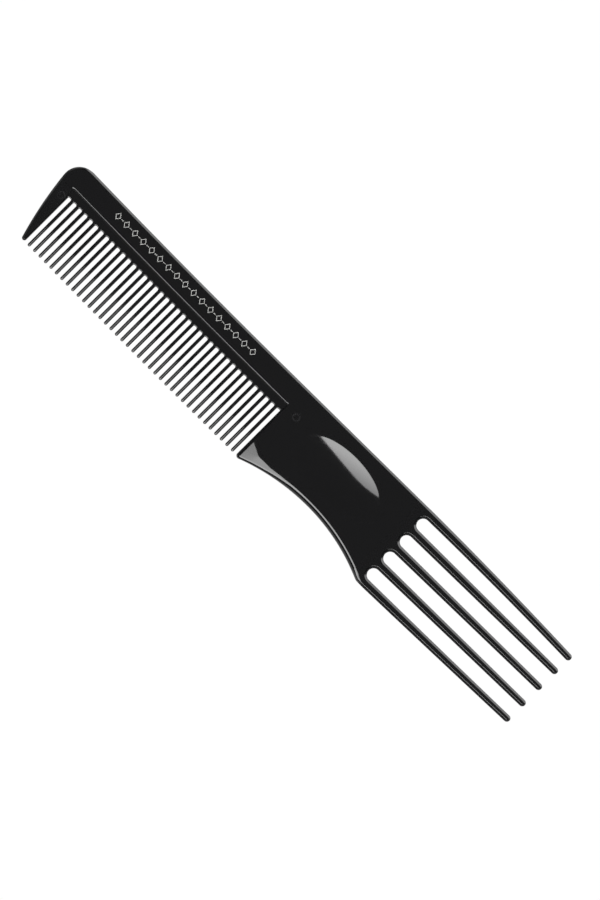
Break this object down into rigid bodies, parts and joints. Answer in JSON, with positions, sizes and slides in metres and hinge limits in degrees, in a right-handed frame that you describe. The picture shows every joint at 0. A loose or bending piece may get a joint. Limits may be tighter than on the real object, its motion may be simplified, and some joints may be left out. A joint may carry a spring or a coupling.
{
  "type": "styling comb",
  "caption": "Flat double-ended styling comb: fine tooth row with an end guard, waisted handle with a thumb dish on each face, and a lifting fork.",
  "frame": {"origin": "middle of the underside of the comb's bounding box, with the comb lying on its back face", "axes": "+X along the comb from the end guard to the prong tips, +Y from the tooth tips to the spine, +Z out of the front face"},
  "size_m": [0.2, 0.0294, 0.0038],
  "materials": {
    "black_plastic": "glossy as moulded"
  },
  "bodies": {
    "root": {"spine": "black_plastic", "end_guard": "black_plastic", "tooth_01": "black_plastic", "tooth_02": "black_plastic", "tooth_03": "black_plastic", "tooth_04": "black_plastic", "tooth_05": "black_plastic", "tooth_06": "black_plastic", "tooth_07": "black_plastic", "tooth_08": "black_plastic", "tooth_09": "black_plastic", "tooth_10": "black_plastic", "tooth_11": "black_plastic", "tooth_12": "black_plastic", "tooth_13": "black_plastic", "tooth_14": "black_plastic", "tooth_15": "black_plastic", "tooth_16": "black_plastic", "tooth_17": "black_plastic", "tooth_18": "black_plastic", "tooth_19": "black_plastic", "tooth_20": "black_plastic", "tooth_21": "black_plastic", "tooth_22": "black_plastic", "tooth_23": "black_plastic", "tooth_24": "black_plastic", "tooth_25": "black_plastic", "tooth_26": "black_plastic", "tooth_27": "black_plastic", "tooth_28": "black_plastic", "tooth_29": "black_plastic", "tooth_30": "black_plastic", "tooth_31": "black_plastic", "tooth_32": "black_plastic", "tooth_33": "black_plastic", "tooth_34": "black_plastic", "tooth_35": "black_plastic", "tooth_36": "black_plastic", "tooth_37": "black_plastic", "tooth_38": "black_plastic", "handle": "black_plastic", "fork_root": "black_plastic", "prong_1": "black_plastic", "prong_2": "black_plastic", "prong_3": "black_plastic", "prong_4": "black_plastic", "prong_5": "black_plastic"}
  },
  "joints": []
}
